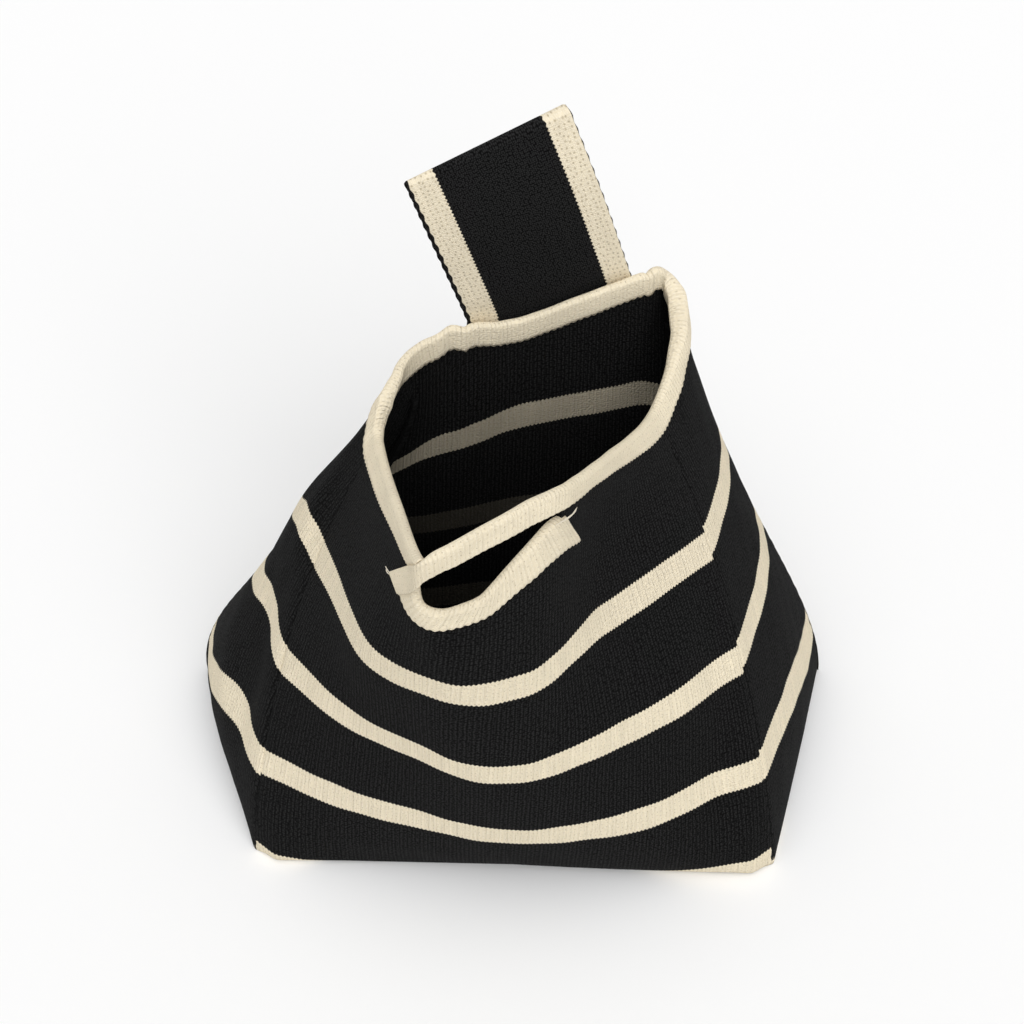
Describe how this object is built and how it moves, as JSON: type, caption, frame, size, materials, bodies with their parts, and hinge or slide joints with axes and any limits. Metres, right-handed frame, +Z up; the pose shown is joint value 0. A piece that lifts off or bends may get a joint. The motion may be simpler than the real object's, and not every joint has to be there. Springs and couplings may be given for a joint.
{
  "type": "tote bag",
  "caption": "Small striped canvas tote with a flat base, slumped sides, a wide wrist strap folded at the back rim and a bound finger slot under a grip bar in the front rim.",
  "frame": {"origin": "middle of the flat base, on the surface that the bag stands on", "axes": "+Z up, +X along the base's long side to the right of someone facing the front, -Y out of the front"},
  "size_m": [0.3158, 0.2046, 0.3136],
  "materials": {
    "canvas": "matte ribbed cotton canvas with woven cream stripes",
    "inner_tape": "matte cotton seam tape",
    "cream_tape": "matte cream cotton tape",
    "strap_webbing": "matte ribbed cotton webbing with cream edge bands"
  },
  "bodies": {
    "bag": {"base_panel": "canvas", "front_panel": "canvas", "right_gusset": "canvas", "back_panel": "canvas", "left_gusset": "canvas", "base_seam_binding": "inner_tape", "front_right_seam_binding": "inner_tape", "back_right_seam_binding": "inner_tape", "back_left_seam_binding": "inner_tape", "front_left_seam_binding": "inner_tape", "rim_binding": "cream_tape", "slot_binding": "cream_tape", "strap_front_end": "strap_webbing", "strap_back_end": "strap_webbing"},
    "strap": {"strap_loop": "strap_webbing"},
    "grip": {"grip_bar": "cream_tape"}
  },
  "joints": [
    {"name": "strap_swing", "type": "hinge", "parent": "bag", "child": "strap", "pos_m": [0.01372, 0.09328, 0.23318], "axis": [0.9302, 0.3668, 0.0131], "range_deg": [-74, 84]},
    {"name": "grip_roll", "type": "hinge", "parent": "bag", "child": "grip", "pos_m": [-0.00682, -0.05612, 0.24857], "axis": [0.8394, 0.5436, -0.0039], "range_deg": [-12, 12]}
  ]
}
